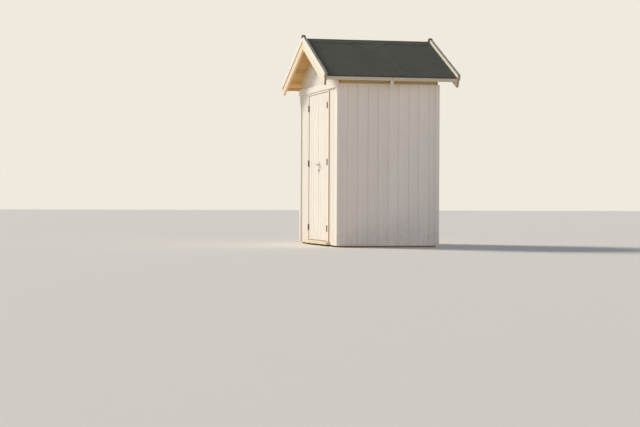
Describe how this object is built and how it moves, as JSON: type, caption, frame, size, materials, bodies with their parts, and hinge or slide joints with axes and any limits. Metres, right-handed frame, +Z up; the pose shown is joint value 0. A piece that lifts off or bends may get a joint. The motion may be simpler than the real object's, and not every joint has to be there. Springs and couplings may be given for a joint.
{
  "type": "beach hut",
  "caption": "White painted timber beach hut with a gabled roof of grey felt, bargeboards, and double doors with butt hinges and a lever lock.",
  "frame": {"origin": "centre of the hut's bounding box at ground level, under the floor bearers", "axes": "+X to the right when one faces the doors, +Y from the door gable to the rear, +Z up"},
  "size_m": [2.45, 1.732, 2.6869],
  "materials": {
    "white_timber": "painted white, satin",
    "cream_timber": "painted cream, worn",
    "bare_timber": "sawn, unpainted",
    "roofing_felt": "mineral grit, matt",
    "dark_steel": "dark, matt",
    "dull_steel": "dull, weathered"
  },
  "bodies": {
    "hut": {"floor_bearers": "bare_timber", "floor_deck": "bare_timber", "left_wall": "white_timber", "right_wall": "white_timber", "rear_wall": "white_timber", "front_wall_left": "white_timber", "front_wall_right": "white_timber", "front_gable": "white_timber", "corner_posts": "bare_timber", "door_posts": "bare_timber", "door_header": "bare_timber", "wall_rails": "bare_timber", "wall_plates": "bare_timber", "left_rafters": "bare_timber", "right_rafters": "bare_timber", "collar_tie": "bare_timber", "eaves_blocking": "bare_timber", "left_roof_deck": "bare_timber", "right_roof_deck": "bare_timber", "left_felt": "roofing_felt", "right_felt": "roofing_felt", "ridge_felt": "roofing_felt", "front_left_barge": "white_timber", "front_right_barge": "white_timber", "rear_left_barge": "white_timber", "rear_right_barge": "white_timber", "barge_cover_strips": "white_timber", "left_fascia": "white_timber", "right_fascia": "white_timber", "corner_trims": "white_timber", "head_board": "white_timber", "left_casing": "white_timber", "right_casing": "white_timber", "casing_head": "white_timber", "threshold": "cream_timber", "frame_hinges": "dark_steel"},
    "left_leaf": {"left_door": "white_timber", "left_door_ledges": "white_timber", "left_door_hinges": "dark_steel", "left_door_bolts": "dark_steel"},
    "right_leaf": {"right_door": "white_timber", "right_door_ledges": "white_timber", "right_door_hinges": "dark_steel", "lock_plate": "dull_steel", "lock_case": "dark_steel"},
    "lever": {"door_lever": "dull_steel"}
  },
  "joints": [
    {"name": "left_leaf_hinge", "type": "hinge", "parent": "hut", "child": "left_leaf", "pos_m": [-0.5115, -0.6525, 0.068], "axis": [0, 0, -1], "range_deg": [0, 165]},
    {"name": "right_leaf_hinge", "type": "hinge", "parent": "hut", "child": "right_leaf", "pos_m": [0.5115, -0.6525, 0.068], "axis": [0, 0, 1], "range_deg": [0, 165]},
    {"name": "lever_turn", "type": "hinge", "parent": "right_leaf", "child": "lever", "pos_m": [0.0485, -0.643, 1.03], "axis": [0, 1, 0], "range_deg": [0, 45], "stiffness_Nm_per_rad": 0.8, "springref_deg": -34.38}
  ]
}
